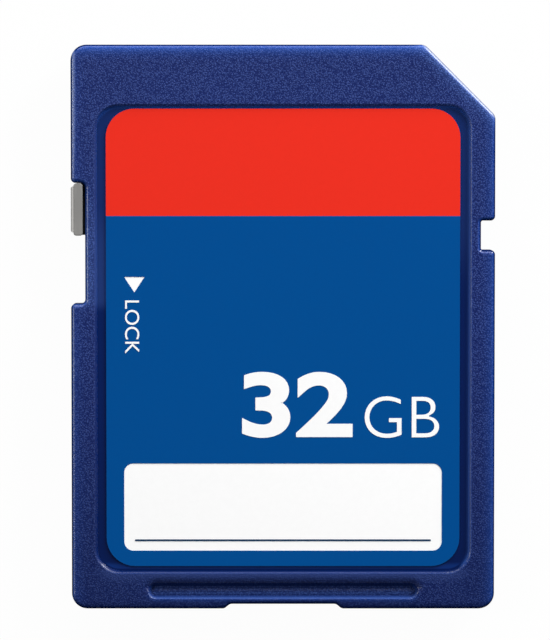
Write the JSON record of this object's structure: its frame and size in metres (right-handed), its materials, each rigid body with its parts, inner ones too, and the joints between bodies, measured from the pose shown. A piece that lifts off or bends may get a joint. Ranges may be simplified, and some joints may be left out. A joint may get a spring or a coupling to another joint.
{
  "type": "memory card",
  "caption": "Flat blue flash memory card with one cut corner, a coloured label in a recess, gold contacts in windows at the back, and a small sliding write lock in a side notch.",
  "frame": {"origin": "centre of the card's outline, on the plane of its rear face", "axes": "+Z out of the label, +Y towards the contact end, +X to the right as the label is seen, on the side of the cut corner"},
  "size_m": [0.024, 0.032, 0.0021],
  "materials": {
    "housing": "dark blue moulded plastic with a fine spark-eroded grain",
    "label_film": "smooth white film, bare in the writing panel",
    "red_ink": "smooth red ink under a clear coat",
    "blue_ink": "smooth blue ink under a clear coat",
    "line_ink": "smooth dark blue ink under a clear coat",
    "slider": "grey moulded plastic",
    "board": "green solder mask over glass fibre laminate",
    "gold_contact": "bright gold plating",
    "chip_epoxy": "black moulded epoxy",
    "capacitor": "fired ceramic with tinned ends",
    "resistor": "black glazed ceramic with tinned ends"
  },
  "bodies": {
    "card": {"front_shell": "housing", "rear_shell": "housing", "front_label": "label_film", "red_print": "red_ink", "blue_print": "blue_ink", "writing_line": "line_ink", "circuit_board": "board", "contact_1": "gold_contact", "contact_2": "gold_contact", "contact_3": "gold_contact", "contact_4": "gold_contact", "contact_5": "gold_contact", "contact_6": "gold_contact", "contact_7": "gold_contact", "contact_8": "gold_contact", "contact_9": "gold_contact", "flash_package": "chip_epoxy", "controller_package": "chip_epoxy", "capacitor_1": "capacitor", "capacitor_2": "capacitor", "capacitor_3": "capacitor", "capacitor_4": "capacitor", "resistor_1": "resistor", "resistor_2": "resistor", "resistor_3": "resistor", "resistor_4": "resistor"},
    "lock": {"lock_slider": "slider"}
  },
  "joints": [
    {"name": "lock_slide", "type": "slide", "parent": "card", "child": "lock", "axis": [0, -1, 0], "range_m": [0, 0.00384]}
  ]
}
